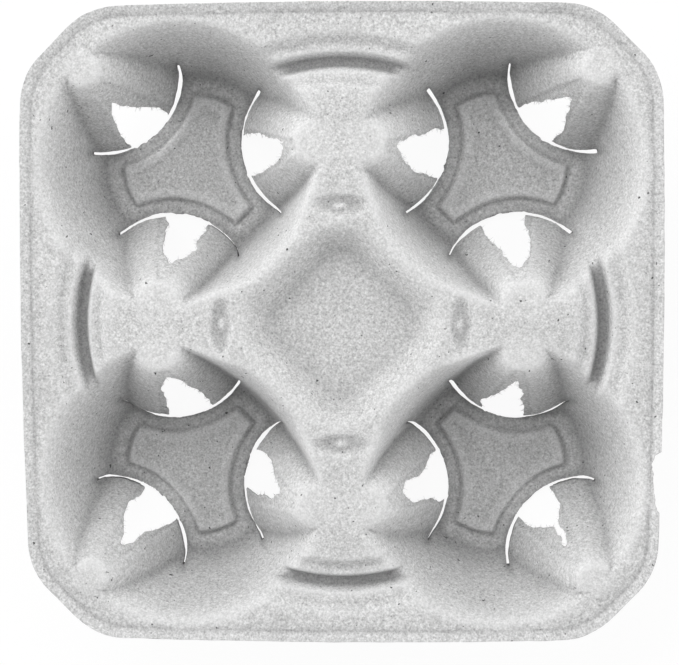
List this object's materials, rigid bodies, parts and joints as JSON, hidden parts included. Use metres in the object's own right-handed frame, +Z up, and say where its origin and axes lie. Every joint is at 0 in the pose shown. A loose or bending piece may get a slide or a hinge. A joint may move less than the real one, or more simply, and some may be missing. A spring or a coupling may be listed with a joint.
{
  "type": "cup carrier",
  "caption": "Square moulded pulp carrier with four wells that grip takeaway cups, torn vent windows in its tongues, and a small sunken tray in the middle",
  "frame": {"origin": "middle of the carrier in plan, at the height of the undersides of the four well floors it stands on", "axes": "+Z up out of the wells and along the carrier's height, its shortest extent; +X to the right and +Y to the top of the picture, along the straight sides"},
  "size_m": [0.216, 0.216, 0.045],
  "materials": {
    "pulp": "rough moulded paper pulp, light grey, matt, with fine dark specks"
  },
  "bodies": {
    "root": {"cup_carrier": "pulp"}
  },
  "joints": []
}
